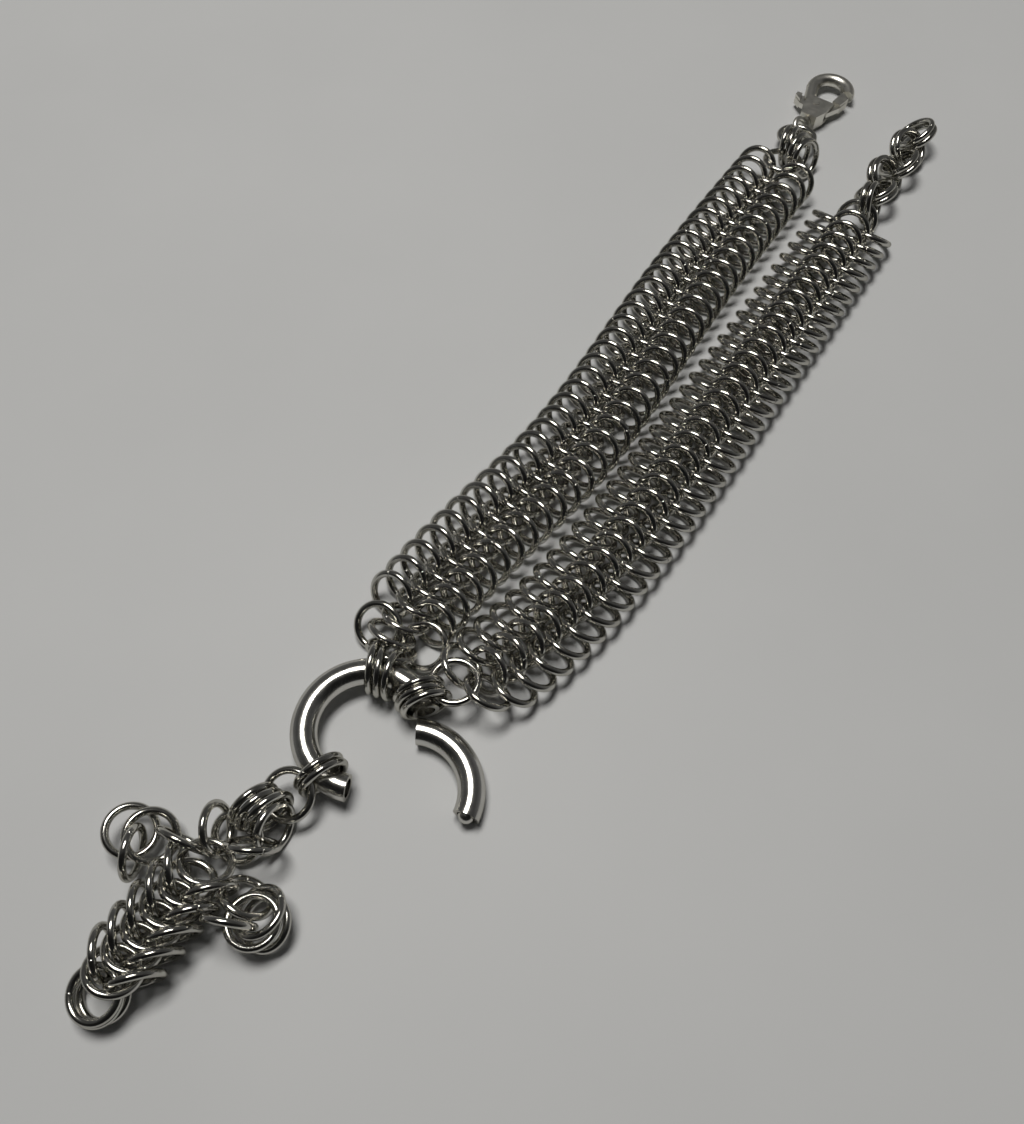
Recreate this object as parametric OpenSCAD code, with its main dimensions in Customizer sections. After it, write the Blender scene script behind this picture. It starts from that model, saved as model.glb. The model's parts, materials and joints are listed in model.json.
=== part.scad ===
// A choker woven from steel rings, lying on a table. Two bands of three rows each meet at a snap ring,
// which also carries a woven cross. The far ends hold a trigger clasp and a length of extender chain.
// Millimetres, +Z up, the bands along +Y, the cross at -Y.

/* [Weave] */
// Thickness of the ring wire
wire_d = 1.4; // [1.3:0.05:1.4]
// Outer diameter of a woven ring
ring_outer_d = 9.9; // [9.8:0.05:9.95]
// Lean from flat of the woven rings whose far edge is up, in degrees
steep_lean = 56; // [55:0.5:57]
// Lean from flat of the woven rings whose near edge is up, in degrees
flat_lean = 40; // [39:0.5:41]
// Thickness of the rods that join one row's rings into one piece
row_rod_d = 0.8; // [0.7:0.05:0.8]

/* [Snap ring] */
// Thickness of the snap ring's tube
tube_d = 4.9; // [4.6:0.1:4.9]
// Depth of the sockets in the tube's cut ends
socket_depth = 1.7; // [1.2:0.1:2]
// Diameter of those sockets
socket_d = 3.4; // [3:0.1:3.6]
// Diameter of the spring ball in the loose segment's end
ball_d = 3; // [2.8:0.1:3]

/* [Clasp] */
// Thickness of the clasp's body
clasp_t = 3.6; // [3.4:0.1:3.8]
// Thickness of the wire that forms the hook
hook_wire_d = 3.2; // [3:0.1:3.3]
// Thickness of the lever
lever_t = 1.3; // [1.1:0.1:1.4]
// Diameter of the rivet
rivet_d = 1.8; // [1.6:0.1:2]

/* [Hidden] */
wire_r = wire_d / 2;
ring_r = ring_outer_d / 2 - wire_r;
rod_r = row_rod_d / 2;
tube_r = tube_d / 2;
smooth_ring = 48;
smooth_wire = 24;
smooth_tube = 48;

// The middle of the part's footprint, moved to the origin
middle = [5.36, 50.01, 0];

// Steps of the weave, the lean of the left middle row's first ring, and how far short the rods stop
ring_pitch = 4.2;
row_step = 5.1;
end_lean = 50;
rod_trim = 0.1;

// Routes of the two bands: across the part, as a function of the way along it
left_start_x = -3.3;
left_drift = 0.0145;
left_bow = 4;
left_bow_y = 50;
left_bow_near = 29;
left_bow_far = 41;
right_x = 20.7;
right_drift = 0.033;
right_bend = 4.45;
right_bend_y = 47;

// Snap ring
snap_r = 11.1;
main_at = [5, -22.7, 4];
main_from = 53;
main_to = 293;
segment_at = [17.8, -26.9, tube_r];
segment_from = 12;
segment_to = 120;
ball_sink = 0.3;

// Clasp, drawn along +Y from the middle of its eye, then turned and put in place
clasp_at = [-9, 164.4, 2.5];
clasp_turn = 2;
eye_r = 2.3;
eye_wire_r = 0.65;
eye_lean = 45;
neck_r = 1;
neck_gap = 0.08;
neck_from = 2.4;
neck_to = 5.9;
neck_room = 0.15;
body_from = 3.4;
overcut = 1;
slot_gap = 0.12;
slot_from = 6.2;
slot_length = 4.6;
slot_width = 12;
rivet_at = [-0.4, 8.6];
rivet_gap = 0.08;
rivet_head = 0.15;
edge_t = 2.8;
hub_r = 2.1;
loop_y = 16.6;
loop_r = 4.55;
loop_end = 6;
leg_slant = 17;
leg_length = 5.9;
leg_lap = 0.3;

// Doubled rings of the extender chain and the rod that joins each two
double_r = 4.3;
double_step = 0.75;

function left_route(y) = left_start_x - left_drift * y
    + left_bow * exp(-pow((y - left_bow_y) / (y < left_bow_y ? left_bow_near : left_bow_far), 2));
function right_route(y) = right_x - right_drift * max(0, y - right_bend_y)
    - right_bend * pow(max(0, right_bend_y - y) / right_bend_y, 3);
function route(side, y) = side < 0 ? left_route(y) : right_route(y);
function route_slope(side, y) = (route(side, y + 0.05) - route(side, y - 0.05)) / 0.1;
function heading(side, y) = atan(route_slope(side, y));

// Place of a woven ring: x, y, z of its centre, its turn about Z and its lean
function woven(side, offset, y, lean) = [
    route(side, y) + offset * cos(heading(side, y)),
    y - offset * sin(heading(side, y)),
    wire_r + ring_r * sin(abs(lean)),
    -heading(side, y),
    lean
];

// Lowest point of a ring's wire
function lowest(p) = [
    p[0] + sign(p[4]) * ring_r * sin(p[3]) * cos(p[4]),
    p[1] - sign(p[4]) * ring_r * cos(p[3]) * cos(p[4]),
    p[2] - ring_r * sin(abs(p[4]))
];

// Highest point of a ring's wire
function highest(p) = [
    p[0] - sign(p[4]) * ring_r * sin(p[3]) * cos(p[4]),
    p[1] + sign(p[4]) * ring_r * cos(p[3]) * cos(p[4]),
    p[2] + ring_r * sin(abs(p[4]))
];

module ring(radius = ring_r, wire = wire_r) {
    rotate_extrude($fn = smooth_ring)
        translate([radius, 0])
            circle(r = wire, $fn = smooth_wire);
}

module at(p) {
    translate([p[0], p[1], p[2]] - middle)
        rotate([0, 0, p[3]])
            rotate([p[4], 0, 0])
                children();
}

// A rod between two points
module rod(from, to, radius) {
    way = to - from;
    span = norm(way);
    translate(from - middle)
        rotate([0, acos(way[2] / span), atan2(way[1], way[0])])
            translate([0, 0, rod_trim])
                cylinder(h = span - 2 * rod_trim, r = radius, $fn = smooth_wire);
}

// One row of woven rings, with a rod from each ring's lowest point to the next one's
module row(side, offset, first_y, first, last, lean, first_lean) {
    places = [
        for (k = [first : last])
            woven(side, offset, first_y + ring_pitch * k, k == first ? first_lean : lean)
    ];
    for (p = places)
        at(p)
            ring();
    for (k = [1 : len(places) - 1])
        rod(lowest(places[k - 1]), lowest(places[k]), rod_r);
}

// Left band. Its edge rows lean one way and its middle row the other.
left_edge_y = -3.28;
left_middle_y = -5.38;

module left_band_outer_row() {
    color([0.78, 0.78, 0.77])
        row(-1, -row_step, left_edge_y, 1, 35, steep_lean, steep_lean);
}

module left_band_middle_row() {
    color([0.78, 0.78, 0.77])
        row(-1, 0, left_middle_y, 0, 35, -flat_lean, -end_lean);
}

module left_band_inner_row() {
    color([0.78, 0.78, 0.77])
        row(-1, row_step, left_edge_y, 1, 35, steep_lean, steep_lean);
}

// Right band, leaning the other way about
right_edge_y = -3.2;
right_middle_y = -5.3;

module right_band_inner_row() {
    color([0.78, 0.78, 0.77])
        row(1, -row_step, right_edge_y, 1, 34, -flat_lean, -flat_lean);
}

module right_band_middle_row() {
    color([0.78, 0.78, 0.77])
        row(1, 0, right_middle_y, 1, 35, steep_lean, steep_lean);
}

module right_band_outer_row() {
    color([0.78, 0.78, 0.77])
        row(1, row_step, right_edge_y, 1, 34, -flat_lean, -flat_lean);
}

// Single rings, each given by x, y, z, turn, lean

// Ends of the left band, and the ring that carries the left jump rings
left_end_outer = [-6.35, -5.6, 3.7, 5, 36];
left_end_inner = [3.1, -3.65, 3.3, 3.5, 27];
left_carrier = [-1.1, -8.1, 3.85, 15, -46];

// Ends of the right band, and the ring that carries the right jump rings
right_end_inner = [11.6, -3.1, 4.5, -38.5, -44];
right_end_outer = [18.6, -4.6, 5.2, -8, -42.5];
right_carrier = [12.9, -6.85, 6.2, 66, -4];

// Jump rings round the snap ring, left and right
left_jump_1 = [-1.2, -13.05, 4.95, -62.5, 89.5];
left_jump_2 = [0.4, -12.8, 5, -61, 89];
left_jump_3 = [2.7, -12.05, 4.95, -71, -84];
right_jump_1 = [8.35, -11.7, 4.95, 57, 88.5];
right_jump_2 = [9.5, -12.65, 4.95, 57, 88.5];
right_jump_3 = [11.1, -12.95, 4.95, 57.5, 88];

// Hanger of the cross: two jump rings, one ring, four jump rings, and the rings that carry the cross
hanger_jump_1 = [3.6, -33.75, 4.95, 72.5, -89];
hanger_jump_2 = [5.05, -34.1, 4.95, 72.5, -89];
hanger_link = [2.1, -39.95, 4.85, 3.5, 19.5];
hanger_side_1 = [-1.55, -44.7, 5.05, 77, 84];
hanger_side_2 = [-0.05, -44.8, 4.95, 77, 84];
hanger_side_3 = [1.6, -44.3, 5.1, 77, 84];
hanger_side_4 = [4, -45.7, 4.75, -81, -72];
top_ring = [-0.7, -50.35, 3, 8.5, 31.5];
top_left_ring = [-3.65, -51.5, 5.2, -55, -71.5];
top_right_ring = [3.4, -50.1, 5.95, 30.5, -64.5];

// Arms of the cross
left_arm_upper = [-7.1, -56.3, 4.9, 10, -79];
left_arm_lower = [-12, -62.7, 5.85, -61, 90];
left_arm_tip_1 = [-15.6, -60.3, 4.15, -75, -19];
left_arm_tip_2 = [-12, -58.9, 4.6, -81, -25];
right_arm_upper = [7.8, -56.9, 3.85, -2, -47];
right_arm_lower = [8.8, -61.6, 6.4, 26, -81];
right_arm_tip_1 = [12.7, -58.1, 2.5, -40, 24];
right_arm_tip_2 = [11.5, -59.2, 4.95, -81, 4];
right_arm_tip_3 = [11.3, -57.5, 5, 90, -27];

// Rings between the left band and the clasp
clasp_carrier = [-5.4, 147.3, 5.8, 3, -8];
clasp_side_1 = [-7.8, 153.6, 4.95, -79, -79];
clasp_side_2 = [-6.2, 154.2, 4.95, -81.5, -78];
clasp_side_3 = [-4, 152.8, 5.2, 84, 75];
clasp_side_4 = [-1.9, 152.4, 4.8, 79, 70];
clasp_jump = [-8.1, 160.3, 3.2, 31.5, -9];

// Doubled links of the extender chain
extender_1 = [18.2, 146.4, 6.3, -82, -70];
extender_2 = [17.3, 152.5, 4.25, 84.5, -37];
extender_3 = [16.3, 158.9, 4.15, 88, 40];
extender_4 = [17.4, 165, 4.1, -82, 41];
extender_5 = [16.5, 171, 4.15, 80, 41];
extender_6 = [15.9, 176.9, 4.1, -80, 41];

module single_ring(p) {
    color([0.78, 0.78, 0.77])
        at(p)
            ring();
}

// Two rings side by side, joined by a rod at their lowest point
module double_ring(p) {
    color([0.78, 0.78, 0.77])
        at(p) {
            for (side = [-1, 1])
                translate([0, 0, side * double_step])
                    ring(double_r);
            translate([0, -sign(p[4]) * double_r, -double_step])
                cylinder(h = 2 * double_step, r = rod_r, $fn = smooth_wire);
        }
}

// Upright of the cross: a leaning row down its middle and a steeper row on each side
upright_step = 4.2;
upright_rod_r = 0.4;
upright_middle = [-0.9, -56.7, 6, 0.5, -27.5];
upright_left = [-4.5, -60.1, 5, -47, -84];
upright_right = [2.6, -60, 4.95, 51, -87];

function down(p, k) = [p[0], p[1] - upright_step * k, p[2], p[3], p[4]];

// One of the upright's rows, its rings joined by rods at their lowest or at their highest points
module upright_row(start, rings, low) {
    places = [for (k = [0 : rings - 1]) down(start, k)];
    ends = [for (p = places) low ? lowest(p) : highest(p)];
    color([0.78, 0.78, 0.77]) {
        for (p = places)
            at(p)
                ring();
        for (k = [1 : rings - 1])
            rod(ends[k - 1], ends[k], upright_rod_r);
    }
}

// Foot of the cross: three rings lying on one another
foot_ring_1 = [-1.1, -81.4, 1.9, -14, 16];
foot_ring_2 = [-1.3, -82.3, 3.2, -14, 15];
foot_ring_3 = [-1.2, -82.1, 4.8, -14, 14];

// A length of the snap ring's tube, with a socket in each cut end
module snap_tube(from, to) {
    difference() {
        rotate([0, 0, from])
            rotate_extrude(angle = to - from, $fn = smooth_ring)
                translate([snap_r, 0])
                    circle(r = tube_r, $fn = smooth_tube);
        tube_socket(from, -1);
        tube_socket(to, 1);
    }
}

module tube_socket(angle, way) {
    rotate([0, 0, angle])
        translate([snap_r, way > 0 ? -socket_depth : socket_depth, 0])
            rotate([way > 0 ? -90 : 90, 0, 0])
                cylinder(h = socket_depth + overcut, r = socket_d / 2, $fn = smooth_tube);
}

module snap_ring_main() {
    color([0.8, 0.8, 0.8])
        translate(main_at - middle)
            snap_tube(main_from, main_to);
}

module snap_ring_segment() {
    color([0.8, 0.8, 0.8])
        translate(segment_at - middle) {
            snap_tube(segment_from, segment_to);
            rotate([0, 0, segment_from])
                translate([snap_r, ball_sink, 0])
                    sphere(d = ball_d, $fn = smooth_tube);
        }
}

module on_clasp() {
    translate(clasp_at - middle)
        rotate([0, 0, clasp_turn])
            children();
}

// Eye of the clasp, with the neck that the hook turns on
module clasp_eye() {
    color([0.72, 0.7, 0.66])
        on_clasp() {
            rotate([0, eye_lean, 0])
                ring(eye_r, eye_wire_r);
            translate([0, neck_from, 0])
                rotate([-90, 0, 0])
                    cylinder(h = neck_to - neck_from, r = neck_r, $fn = smooth_wire);
        }
}

// Outline of the clasp's body, from above
module body_outline() {
    polygon([
        [-2.1, body_from], [2.1, body_from], [3.2, 6.2], [3.6, 10.6],
        [-2.9, 10.6], [-3.2, 7]
    ]);
}

module hook_loop() {
    translate([0, loop_y, 0]) {
        rotate([0, 0, loop_end])
            rotate_extrude(angle = 180 + leg_slant - loop_end, $fn = smooth_ring)
                translate([loop_r, 0])
                    circle(d = hook_wire_d, $fn = smooth_tube);
        rotate([0, 0, 180 + leg_slant])
            translate([loop_r, -leg_lap, 0])
                rotate([-90, 0, 0])
                    cylinder(h = leg_length + leg_lap, d = hook_wire_d - 0.1, $fn = smooth_tube);
    }
}

module clasp_hook() {
    slot = lever_t + 2 * slot_gap;
    color([0.72, 0.7, 0.66])
        on_clasp() {
            difference() {
                union() {
                    translate([0, 0, -clasp_t / 2])
                        linear_extrude(clasp_t)
                            body_outline();
                    hook_loop();
                }
                translate([-slot_width / 2, slot_from, -slot / 2])
                    cube([slot_width, slot_length, slot]);
                translate([0, body_from - overcut, 0])
                    rotate([-90, 0, 0])
                        cylinder(
                            h = neck_to + neck_room - body_from + overcut,
                            r = neck_r + neck_gap,
                            $fn = smooth_wire
                        );
            }
            translate([rivet_at[0], rivet_at[1], -clasp_t / 2 - rivet_head])
                cylinder(h = clasp_t + 2 * rivet_head, d = rivet_d, $fn = smooth_wire);
        }
}

// Lever: a hub on the rivet, a gate that closes the hook and a thumb tab
module clasp_lever() {
    color([0.72, 0.7, 0.66])
        on_clasp()
            difference() {
                union() {
                    translate([0, 0, -lever_t / 2])
                        linear_extrude(lever_t) {
                            translate(rivet_at)
                                circle(r = hub_r, $fn = smooth_wire);
                            polygon([
                                [0.4, 7], [3.2, 7.6], [5, 11.2], [5.6, 14.9],
                                [3.3, 16.4], [2.5, 11.4], [-0.4, 10.6]
                            ]);
                            polygon([
                                [-0.8, 7], [-4.4, 7.6], [-6.4, 9.2], [-6.4, 10.3],
                                [-4.6, 10.5], [-0.6, 10.2]
                            ]);
                        }
                    translate([0, 0, -edge_t / 2])
                        linear_extrude(edge_t) {
                            polygon([[2.7, 11.8], [4.9, 11.5], [5.6, 14.9], [3.3, 16.4]]);
                            polygon([[-4.6, 8], [-6, 9], [-6.4, 9.2], [-6.4, 10.3], [-5.1, 10.4]]);
                        }
                }
                translate([rivet_at[0], rivet_at[1], -clasp_t])
                    cylinder(h = 2 * clasp_t, r = rivet_d / 2 + rivet_gap, $fn = smooth_wire);
            }
}

module left_end_outer_ring() { single_ring(left_end_outer); }
module left_end_inner_ring() { single_ring(left_end_inner); }
module left_carrier_ring() { single_ring(left_carrier); }
module right_end_inner_ring() { single_ring(right_end_inner); }
module right_end_outer_ring() { single_ring(right_end_outer); }
module right_carrier_ring() { single_ring(right_carrier); }
module left_jump_ring_1() { single_ring(left_jump_1); }
module left_jump_ring_2() { single_ring(left_jump_2); }
module left_jump_ring_3() { single_ring(left_jump_3); }
module right_jump_ring_1() { single_ring(right_jump_1); }
module right_jump_ring_2() { single_ring(right_jump_2); }
module right_jump_ring_3() { single_ring(right_jump_3); }
module hanger_jump_ring_1() { single_ring(hanger_jump_1); }
module hanger_jump_ring_2() { single_ring(hanger_jump_2); }
module hanger_ring() { single_ring(hanger_link); }
module hanger_side_ring_1() { single_ring(hanger_side_1); }
module hanger_side_ring_2() { single_ring(hanger_side_2); }
module hanger_side_ring_3() { single_ring(hanger_side_3); }
module hanger_side_ring_4() { single_ring(hanger_side_4); }
module cross_top_ring() { single_ring(top_ring); }
module cross_top_left_ring() { single_ring(top_left_ring); }
module cross_top_right_ring() { single_ring(top_right_ring); }
module cross_upright_middle_row() { upright_row(upright_middle, 6, false); }
module cross_upright_left_row() { upright_row(upright_left, 5, true); }
module cross_upright_right_row() { upright_row(upright_right, 5, true); }
module cross_left_arm_upper_ring() { single_ring(left_arm_upper); }
module cross_left_arm_lower_ring() { single_ring(left_arm_lower); }
module cross_left_arm_tip_ring_1() { single_ring(left_arm_tip_1); }
module cross_left_arm_tip_ring_2() { single_ring(left_arm_tip_2); }
module cross_right_arm_upper_ring() { single_ring(right_arm_upper); }
module cross_right_arm_lower_ring() { single_ring(right_arm_lower); }
module cross_right_arm_tip_ring_1() { single_ring(right_arm_tip_1); }
module cross_right_arm_tip_ring_2() { single_ring(right_arm_tip_2); }
module cross_right_arm_tip_ring_3() { single_ring(right_arm_tip_3); }
module cross_foot_ring_1() { single_ring(foot_ring_1); }
module cross_foot_ring_2() { single_ring(foot_ring_2); }
module cross_foot_ring_3() { single_ring(foot_ring_3); }
module clasp_carrier_ring() { single_ring(clasp_carrier); }
module clasp_side_ring_1() { single_ring(clasp_side_1); }
module clasp_side_ring_2() { single_ring(clasp_side_2); }
module clasp_side_ring_3() { single_ring(clasp_side_3); }
module clasp_side_ring_4() { single_ring(clasp_side_4); }
module clasp_jump_ring() { single_ring(clasp_jump); }
module extender_link_1() { double_ring(extender_1); }
module extender_link_2() { double_ring(extender_2); }
module extender_link_3() { double_ring(extender_3); }
module extender_link_4() { double_ring(extender_4); }
module extender_link_5() { double_ring(extender_5); }
module extender_link_6() { double_ring(extender_6); }

left_band_outer_row();
left_band_middle_row();
left_band_inner_row();
right_band_inner_row();
right_band_middle_row();
right_band_outer_row();
left_end_outer_ring();
left_end_inner_ring();
left_carrier_ring();
right_end_inner_ring();
right_end_outer_ring();
right_carrier_ring();
left_jump_ring_1();
left_jump_ring_2();
left_jump_ring_3();
right_jump_ring_1();
right_jump_ring_2();
right_jump_ring_3();
snap_ring_main();
snap_ring_segment();
hanger_jump_ring_1();
hanger_jump_ring_2();
hanger_ring();
hanger_side_ring_1();
hanger_side_ring_2();
hanger_side_ring_3();
hanger_side_ring_4();
cross_top_ring();
cross_top_left_ring();
cross_top_right_ring();
cross_upright_middle_row();
cross_upright_left_row();
cross_upright_right_row();
cross_left_arm_upper_ring();
cross_left_arm_lower_ring();
cross_left_arm_tip_ring_1();
cross_left_arm_tip_ring_2();
cross_right_arm_upper_ring();
cross_right_arm_lower_ring();
cross_right_arm_tip_ring_1();
cross_right_arm_tip_ring_2();
cross_right_arm_tip_ring_3();
cross_foot_ring_1();
cross_foot_ring_2();
cross_foot_ring_3();
clasp_carrier_ring();
clasp_side_ring_1();
clasp_side_ring_2();
clasp_side_ring_3();
clasp_side_ring_4();
clasp_jump_ring();
clasp_eye();
clasp_hook();
clasp_lever();
extender_link_1();
extender_link_2();
extender_link_3();
extender_link_4();
extender_link_5();
extender_link_6();
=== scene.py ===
import json
import math
import random

import bpy
import numpy as np
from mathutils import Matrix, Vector


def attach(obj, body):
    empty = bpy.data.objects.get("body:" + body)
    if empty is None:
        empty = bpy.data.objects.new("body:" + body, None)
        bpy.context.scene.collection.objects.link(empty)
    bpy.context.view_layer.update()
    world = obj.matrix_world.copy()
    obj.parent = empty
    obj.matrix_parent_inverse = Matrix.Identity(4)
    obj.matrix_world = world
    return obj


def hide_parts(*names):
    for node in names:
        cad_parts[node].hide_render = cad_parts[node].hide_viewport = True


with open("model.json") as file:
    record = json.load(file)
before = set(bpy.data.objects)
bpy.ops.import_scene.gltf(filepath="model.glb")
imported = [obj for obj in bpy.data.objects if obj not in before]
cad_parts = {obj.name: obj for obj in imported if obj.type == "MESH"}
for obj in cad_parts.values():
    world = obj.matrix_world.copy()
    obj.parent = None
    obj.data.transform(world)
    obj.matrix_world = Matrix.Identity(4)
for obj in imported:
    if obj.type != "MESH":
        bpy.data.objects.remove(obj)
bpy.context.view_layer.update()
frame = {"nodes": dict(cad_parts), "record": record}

MM = 0.001
rng = random.Random(7)
NODES = frame["nodes"]
BODIES = frame["record"]["behaviour"]["bodies"]
BODY_OF = {n: b for b, ns in BODIES.items() for n in ns}

# Facts shared with the CAD part, in millimetres
MIDDLE = np.array([5.36, 50.01, 0.0])
WIRE_R = 0.7
RING_R = 4.25
STEEP = 56.0
FLAT = 40.0
END_LEAN = 50.0
PITCH = 4.2
ROW_STEP = 5.1
DOUBLE_R = 4.3
DOUBLE_STEP = 0.75
LEFT_EDGE_Y = -3.28
LEFT_MIDDLE_Y = -5.38
RIGHT_EDGE_Y = -3.2
RIGHT_MIDDLE_Y = -5.3
LEFT_START_X = -3.3
LEFT_DRIFT = 0.0145
LEFT_BOW = 4.0
LEFT_BOW_Y = 50
LEFT_BOW_NEAR = 29
LEFT_BOW_FAR = 41
RIGHT_X = 20.7
RIGHT_DRIFT = 0.033
RIGHT_BEND = 4.45
RIGHT_BEND_Y = 47

# Closing seam of a ring: half its width and of its groove in radians, and the wire left in it
SEAM_HALF = 0.035
SEAM_GROOVE = 0.012
SEAM_DEPTH = 0.86

CLASP_NODES = ("clasp_eye", "clasp_hook", "clasp_lever")


# Material helpers

def new_material(name):
    m = bpy.data.materials.new(name)
    m.use_nodes = True
    nt = m.node_tree
    return m, nt, nt.nodes["Principled BSDF"]


def add(nt, kind, **values):
    node = nt.nodes.new(kind)
    for k, v in values.items():
        if k in node.inputs:
            node.inputs[k].default_value = v
        else:
            setattr(node, k, v)
    return node


def ramp(nt, source, stops):
    r = add(nt, "ShaderNodeValToRGB")
    e = r.color_ramp.elements
    while len(e) < len(stops):
        e.new(0.5)
    for el, (pos, col) in zip(e, stops):
        el.position = pos
        el.color = (*col, 1.0) if len(col) == 3 else col
    nt.links.new(source, r.inputs["Fac"])
    return r


def grey(v):
    return (v, v, v)


def steel(name, dark, light, rough, rough_spread, scratch, tone_scale=260.0):
    """Polished metal: cloudy tone, smudges in the polish and fine handling scratches."""
    m, nt, p = new_material(name)
    tex = add(nt, "ShaderNodeTexCoord")
    cloud = add(nt, "ShaderNodeTexNoise", Scale=tone_scale, Detail=3.0, Roughness=0.55)
    nt.links.new(tex.outputs["Object"], cloud.inputs["Vector"])
    tone = ramp(nt, cloud.outputs["Fac"], [(0.32, dark), (0.68, light)])
    nt.links.new(tone.outputs["Color"], p.inputs["Base Color"])
    p.inputs["Metallic"].default_value = 1.0
    p.inputs["Specular Tint"].default_value = (0.62, 0.61, 0.58, 1.0)
    smudge = add(nt, "ShaderNodeTexNoise", Scale=620.0, Detail=4.0, Roughness=0.6)
    nt.links.new(tex.outputs["Object"], smudge.inputs["Vector"])
    low, high = grey(rough - rough_spread), grey(rough + rough_spread)
    r = ramp(nt, smudge.outputs["Fac"], [(0.3, low), (0.7, high)])
    nt.links.new(r.outputs["Color"], p.inputs["Roughness"])
    fine = add(nt, "ShaderNodeTexNoise", Scale=5200.0, Detail=2.0, Roughness=0.5, Distortion=0.4)
    nt.links.new(tex.outputs["Object"], fine.inputs["Vector"])
    bump = add(nt, "ShaderNodeBump", Strength=scratch, Distance=0.00002)
    nt.links.new(fine.outputs["Fac"], bump.inputs["Height"])
    nt.links.new(bump.outputs["Normal"], p.inputs["Normal"])
    return m


RING_STEEL = steel("ring_steel", (0.48, 0.47, 0.43), (0.60, 0.59, 0.55), 0.14, 0.045, 0.3)
SNAP_STEEL = steel("snap_ring_steel", (0.58, 0.57, 0.535), (0.67, 0.66, 0.625), 0.18, 0.05, 0.25)
CLASP_METAL = steel("clasp_metal", (0.72, 0.705, 0.645), (0.80, 0.785, 0.72), 0.32, 0.05, 0.4)


# Ring meshes

def ring_frame(turn, lean):
    t, l = math.radians(turn), math.radians(lean)
    a = np.array([math.cos(t), math.sin(t), 0.0])
    b = np.array([-math.sin(t) * math.cos(l), math.cos(t) * math.cos(l), math.sin(l)])
    return a, b


def ring_mesh(centre, a, b, radius, wire, seam, around=60, section=14):
    """Round wire bent into a ring, with a fine closing seam cut across it."""
    angles = [seam - SEAM_HALF, seam - SEAM_GROOVE, seam, seam + SEAM_GROOVE, seam + SEAM_HALF]
    rest = 2 * math.pi - 2 * SEAM_HALF
    angles += [seam + SEAM_HALF + rest * (k + 1) / (around - 4) for k in range(around - 5)]
    depth = [1.0, 1.0, SEAM_DEPTH, 1.0, 1.0] + [1.0] * (around - 5)
    n = np.cross(a, b)
    verts, faces = [], []
    for ang, d in zip(angles, depth):
        out = math.cos(ang) * a + math.sin(ang) * b
        for s in range(section):
            q = 2 * math.pi * s / section
            across = out * (radius + wire * d * math.cos(q))
            verts.append(centre + across + n * (wire * d * math.sin(q)))
    for i in range(around):
        j = (i + 1) % around
        for s in range(section):
            t = (s + 1) % section
            faces.append((i * section + s, i * section + t, j * section + t, j * section + s))
    return verts, faces


def build(name, rings, material, body, replaced):
    """One piece from several rings, each a (centre, a, b, radius, wire) in millimetres."""
    verts, faces = [], []
    for centre, a, b, radius, wire in rings:
        v, f = ring_mesh(centre, a, b, radius, wire, rng.uniform(0, 2 * math.pi))
        base = len(verts)
        verts += v
        faces += [tuple(base + i for i in q) for q in f]
    mesh = bpy.data.meshes.new(name)
    mesh.from_pydata([tuple(v * MM) for v in verts], [], faces)
    mesh.shade_smooth()
    mesh.update()
    ob = bpy.data.objects.new(name, mesh)
    bpy.context.scene.collection.objects.link(ob)
    ob.data.materials.append(material)
    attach(ob, body)
    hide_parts(*replaced)
    return ob


# Routes of the two bands, as in the CAD part

def left_route(y):
    width = LEFT_BOW_NEAR if y < LEFT_BOW_Y else LEFT_BOW_FAR
    return LEFT_START_X - LEFT_DRIFT * y + LEFT_BOW * math.exp(-((y - LEFT_BOW_Y) / width) ** 2)


def right_route(y):
    bend = (max(0, RIGHT_BEND_Y - y) / RIGHT_BEND_Y) ** 3
    return RIGHT_X - RIGHT_DRIFT * max(0, y - RIGHT_BEND_Y) - RIGHT_BEND * bend


def woven(route, offset, y, lean):
    h = math.atan((route(y + 0.05) - route(y - 0.05)) / 0.1)
    z = WIRE_R + RING_R * math.sin(math.radians(abs(lean)))
    c = np.array([route(y) + offset * math.cos(h), y - offset * math.sin(h), z]) - MIDDLE
    a, b = ring_frame(-math.degrees(h), lean)
    return c, a, b, RING_R, WIRE_R


BAND_ROWS = [
    ("left_band_outer_row", left_route, -ROW_STEP, LEFT_EDGE_Y, 1, 35, STEEP, STEEP),
    ("left_band_middle_row", left_route, 0.0, LEFT_MIDDLE_Y, 0, 35, -FLAT, -END_LEAN),
    ("left_band_inner_row", left_route, ROW_STEP, LEFT_EDGE_Y, 1, 35, STEEP, STEEP),
    ("right_band_inner_row", right_route, -ROW_STEP, RIGHT_EDGE_Y, 1, 34, -FLAT, -FLAT),
    ("right_band_middle_row", right_route, 0.0, RIGHT_MIDDLE_Y, 1, 35, STEEP, STEEP),
    ("right_band_outer_row", right_route, ROW_STEP, RIGHT_EDGE_Y, 1, 34, -FLAT, -FLAT),
]
for node, route, offset, y0, first, last, lean, first_lean in BAND_ROWS:
    rings = []
    for k in range(first, last + 1):
        rings.append(woven(route, offset, y0 + PITCH * k, first_lean if k == first else lean))
    build(node + "_rings", rings, RING_STEEL, BODY_OF[node], [node])

# Rows of the cross's upright: first ring's x, y, z, turn and lean as in the CAD part, and rings
UPRIGHT = [
    ("cross_upright_middle_row", (-0.9, -56.7, 6, 0.5, -27.5), 6),
    ("cross_upright_left_row", (-4.5, -60.1, 5, -47, -84), 5),
    ("cross_upright_right_row", (2.6, -60, 4.95, 51, -87), 5),
]
for node, (x, y, z, turn, lean), count in UPRIGHT:
    a, b = ring_frame(turn, lean)
    starts = [np.array([x, y - PITCH * k, z]) - MIDDLE for k in range(count)]
    rings = [(c, a, b, RING_R, WIRE_R) for c in starts]
    build(node + "_rings", rings, RING_STEEL, BODY_OF[node], [node])


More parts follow.
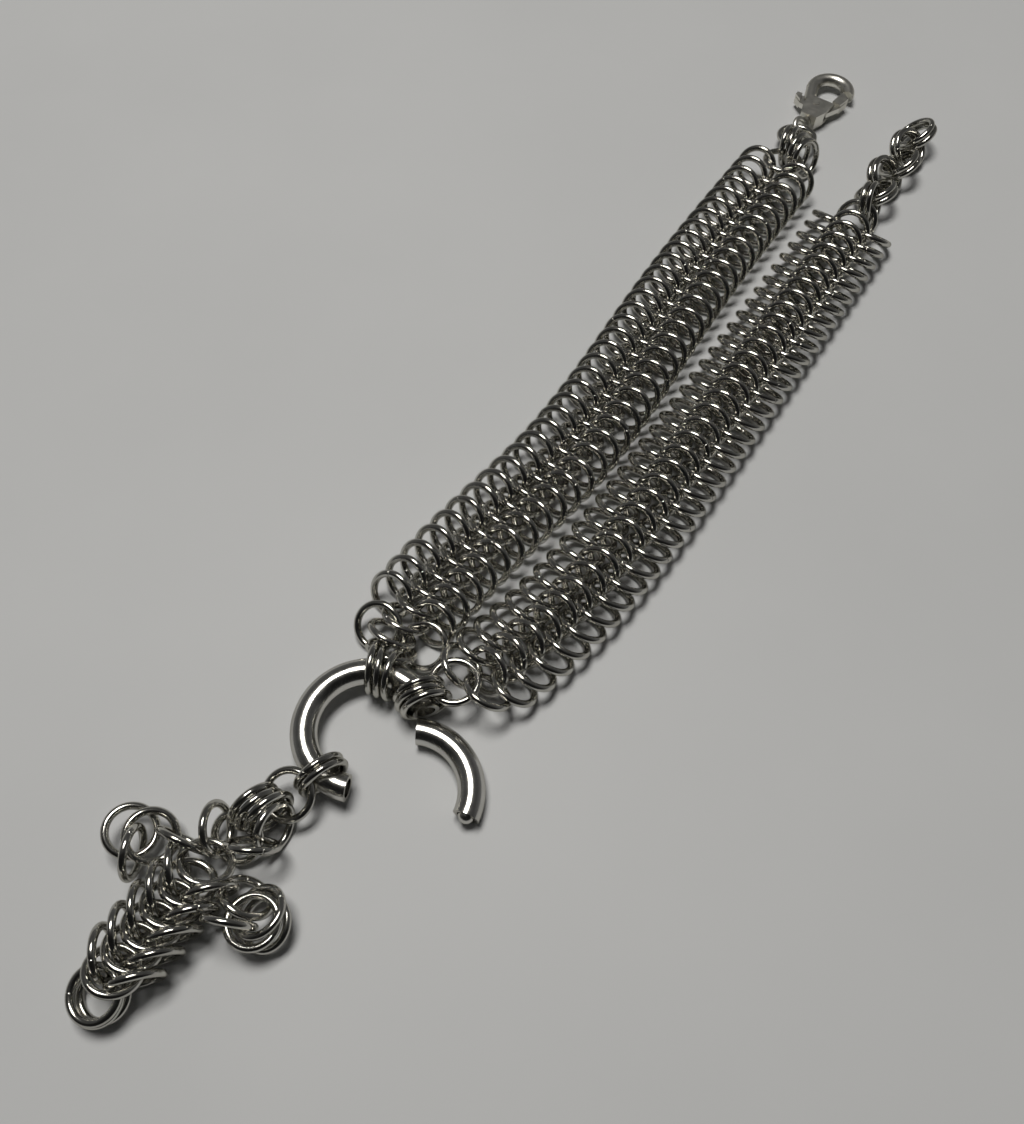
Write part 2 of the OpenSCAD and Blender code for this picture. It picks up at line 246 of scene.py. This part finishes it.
def fit_ring(points):
    """Centre and axes of a CAD ring, from its own vertices."""
    mid = points.mean(0)
    _, _, vt = np.linalg.svd(points - mid)
    a, b = vt[0], vt[1]
    u, v = (points - mid) @ a, (points - mid) @ b
    m = np.stack([2 * u, 2 * v, np.ones(len(u))], 1)
    cu, cv, _ = np.linalg.lstsq(m, u * u + v * v, rcond=None)[0]
    return mid + cu * a + cv * b, a, b


ROW_NODES = {r[0] for r in BAND_ROWS} | {u[0] for u in UPRIGHT}
for node in sorted(NODES):
    if node in ROW_NODES or node.startswith("snap_ring") or node in CLASP_NODES:
        continue
    co = np.array([v.co for v in NODES[node].data.vertices], float).reshape(-1, 3) / MM
    centre, a, b = fit_ring(co)
    n = np.cross(a, b)
    if node.startswith("extender_link"):
        rings = [(centre + n * s * DOUBLE_STEP, a, b, DOUBLE_R, WIRE_R) for s in (-1, 1)]
    else:
        rings = [(centre, a, b, RING_R, WIRE_R)]
    build(node + "_piece", rings, RING_STEEL, BODY_OF[node], [node])

for node, ob in NODES.items():
    if node.startswith("snap_ring"):
        ob.data.materials.clear()
        ob.data.materials.append(SNAP_STEEL)
    elif node in CLASP_NODES:
        ob.data.materials.clear()
        ob.data.materials.append(CLASP_METAL)


# Table

def table_material():
    m, nt, p = new_material("table")
    tex = add(nt, "ShaderNodeTexCoord")
    mottle = add(nt, "ShaderNodeTexNoise", Scale=9.0, Detail=5.0, Roughness=0.55)
    nt.links.new(tex.outputs["Object"], mottle.inputs["Vector"])
    tone = ramp(nt, mottle.outputs["Fac"], [(0.3, (0.585, 0.595, 0.60)), (0.7, (0.62, 0.63, 0.635))])
    nt.links.new(tone.outputs["Color"], p.inputs["Base Color"])
    p.inputs["Roughness"].default_value = 0.55
    p.inputs["Specular IOR Level"].default_value = 0.3
    return m


bpy.ops.mesh.primitive_plane_add(size=6.0, location=(0, 0, -0.00005))
table = bpy.context.object
table.name = "table"
table.data.materials.append(table_material())


# Light

CAM_AZ = math.radians(36)
VIEWER = Vector((math.sin(CAM_AZ), -math.cos(CAM_AZ), 0.0))


def area(name, direction, distance, size, power, colour, target=(0.0, 0.0, 0.0)):
    data = bpy.data.lights.new(name, "AREA")
    data.shape = "RECTANGLE"
    data.size, data.size_y = size
    data.energy = power
    data.color = colour
    ob = bpy.data.objects.new(name, data)
    bpy.context.scene.collection.objects.link(ob)
    d = Vector(direction).normalized()
    ob.location = Vector(target) + d * distance
    ob.rotation_mode = "QUATERNION"
    ob.rotation_quaternion = (-d).to_track_quat("-Z", "Y")
    return ob


area("key_light", (-0.22, 0.08, 1.0), 1.2, (0.54, 0.38), 9.7, (1.0, 0.975, 0.935))

world = bpy.data.worlds.new("room")
bpy.context.scene.world = world
world.use_nodes = True
wt = world.node_tree
bg = wt.nodes["Background"]
tc = add(wt, "ShaderNodeTexCoord")
sep = add(wt, "ShaderNodeSeparateXYZ")
wt.links.new(tc.outputs["Generated"], sep.inputs["Vector"])
HEIGHT_TONES = [(0.0, grey(0.15)), (0.30, grey(0.10)), (0.62, grey(0.06)), (0.9, grey(0.06))]
height = ramp(wt, sep.outputs["Z"], HEIGHT_TONES)
dot = add(wt, "ShaderNodeVectorMath", operation="DOT_PRODUCT")
wt.links.new(tc.outputs["Generated"], dot.inputs[0])
dot.inputs[1].default_value = VIEWER
SIDE_TONES = [(0.0, grey(1.0)), (0.12, grey(0.7)), (0.35, grey(0.2)), (0.8, grey(0.13))]
side = ramp(wt, dot.outputs["Value"], SIDE_TONES)
mix = add(wt, "ShaderNodeMixRGB", blend_type="MULTIPLY", Fac=1.0)
wt.links.new(height.outputs["Color"], mix.inputs["Color1"])
wt.links.new(side.outputs["Color"], mix.inputs["Color2"])
wt.links.new(mix.outputs["Color"], bg.inputs["Color"])
bg.inputs["Strength"].default_value = 1.0
plain = add(wt, "ShaderNodeBackground", Color=(0.42, 0.42, 0.41, 1.0), Strength=1.0)
path = add(wt, "ShaderNodeLightPath")
choose = add(wt, "ShaderNodeMixShader")
wt.links.new(path.outputs["Is Camera Ray"], choose.inputs["Fac"])
wt.links.new(bg.outputs["Background"], choose.inputs[1])
wt.links.new(plain.outputs["Background"], choose.inputs[2])
wt.links.new(choose.outputs["Shader"], wt.nodes["World Output"].inputs["Surface"])


# Camera, at the photograph's angle

cam = bpy.data.cameras.new("camera")
cam.lens = 34.59
cam.sensor_width = 36.0
cam_ob = bpy.data.objects.new("camera", cam)
bpy.context.scene.collection.objects.link(cam_ob)
cam_ob.location = (0.0603, -0.1119, 0.187)
cam_ob.rotation_euler = (math.radians(29), 0.0, CAM_AZ)
cam.clip_start = 0.005
cam.clip_end = 20.0
bpy.context.scene.camera = cam_ob
bpy.context.scene.view_settings.view_transform = "Standard"
